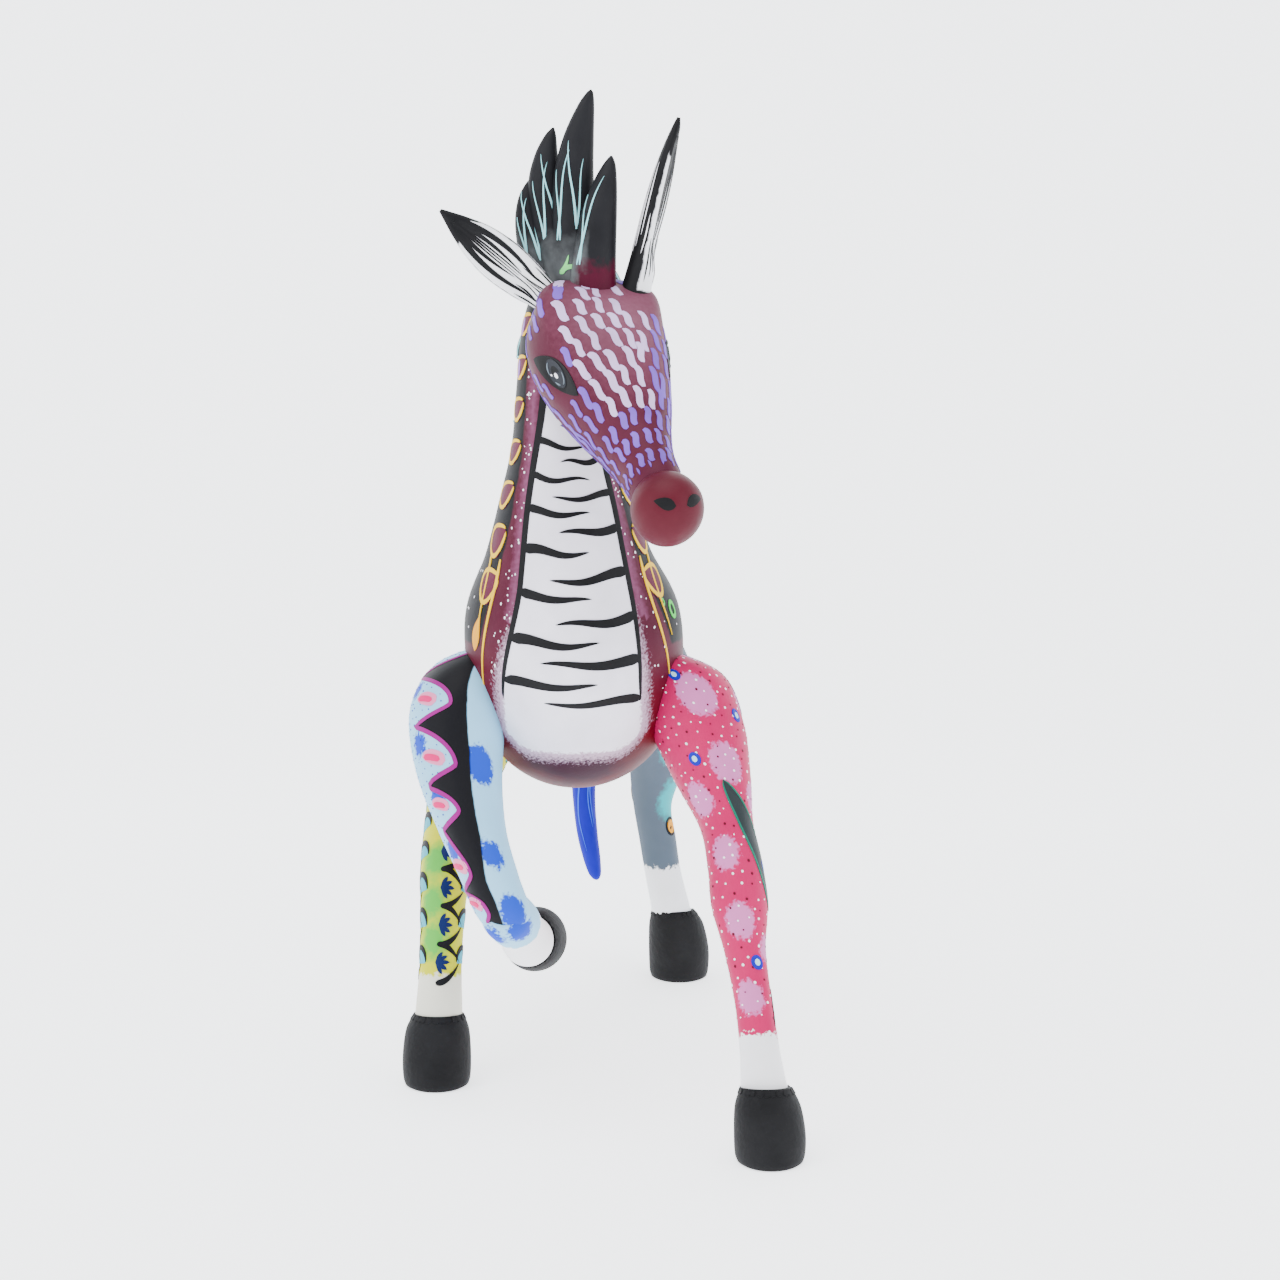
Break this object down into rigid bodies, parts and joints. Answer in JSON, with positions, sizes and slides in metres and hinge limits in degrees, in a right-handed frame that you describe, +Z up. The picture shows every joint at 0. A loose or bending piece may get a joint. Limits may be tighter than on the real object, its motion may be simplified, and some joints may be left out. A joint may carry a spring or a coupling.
{
  "type": "carved wooden horse figure",
  "caption": "Trotting horse figure carved from wood and painted all over, with one foreleg raised, a spiked crest, and ears and tail that plug in on pegs.",
  "frame": {"origin": "floor level under the middle of the bounding box of the standing figure", "axes": "+Z up, -Y the way the animal faces, +X its left side"},
  "size_m": [0.1734, 0.3391, 0.433],
  "materials": {
    "burgundy_body": "hand-painted matte acrylic",
    "burgundy_head": "hand-painted matte acrylic",
    "charcoal_hair": "hand-painted matte acrylic",
    "ear_paint": "hand-painted matte acrylic",
    "coral_leg": "hand-painted matte acrylic",
    "sky_leg": "hand-painted matte acrylic",
    "slate_leg": "hand-painted matte acrylic",
    "yellow_leg": "hand-painted matte acrylic",
    "ultramarine_tail": "hand-painted matte acrylic",
    "bare_wood": "bare sanded wood"
  },
  "bodies": {
    "figure": {"torso_and_neck": "burgundy_body", "head": "burgundy_head", "crest": "charcoal_hair", "neck_mane": "charcoal_hair", "front_left_leg": "coral_leg", "front_right_leg": "sky_leg", "rear_left_leg": "slate_leg", "rear_right_leg": "yellow_leg", "front_left_dowels": "bare_wood", "front_right_dowels": "bare_wood", "rear_left_dowels": "bare_wood", "rear_right_dowels": "bare_wood", "head_dowels": "bare_wood", "crest_dowel": "bare_wood"},
    "right_ear_plug": {"right_ear_peg": "bare_wood"},
    "right_ear_leaf": {"right_ear": "ear_paint"},
    "left_ear_plug": {"left_ear_peg": "bare_wood"},
    "left_ear_leaf": {"left_ear": "ear_paint"},
    "tail_plug": {"tail_peg": "bare_wood"},
    "tail_hang": {"tail": "ultramarine_tail"}
  },
  "joints": [
    {"name": "right_ear_pull", "type": "slide", "parent": "figure", "child": "right_ear_plug", "axis": [-0.7716, 0, 0.6361], "range_m": [0, 0.09]},
    {"name": "right_ear_turn", "type": "hinge", "parent": "right_ear_plug", "child": "right_ear_leaf", "pos_m": [-0.01, -0.0812, 0.3405], "axis": [-0.7716, 0, 0.6361], "range_deg": [-40, 40]},
    {"name": "left_ear_pull", "type": "slide", "parent": "figure", "child": "left_ear_plug", "axis": [0.2419, 0, 0.9703], "range_m": [0, 0.09]},
    {"name": "left_ear_turn", "type": "hinge", "parent": "left_ear_plug", "child": "left_ear_leaf", "pos_m": [0.016, -0.08, 0.347], "axis": [0.2419, 0, 0.9703], "range_deg": [-40, 40]},
    {"name": "tail_pull", "type": "slide", "parent": "figure", "child": "tail_plug", "axis": [0, 0.8192, 0.5736], "range_m": [0, 0.09]},
    {"name": "tail_turn", "type": "hinge", "parent": "tail_plug", "child": "tail_hang", "pos_m": [-0.009, 0.134, 0.2036], "axis": [0, 0.8192, 0.5736], "range_deg": [-15, 15]}
  ]
}
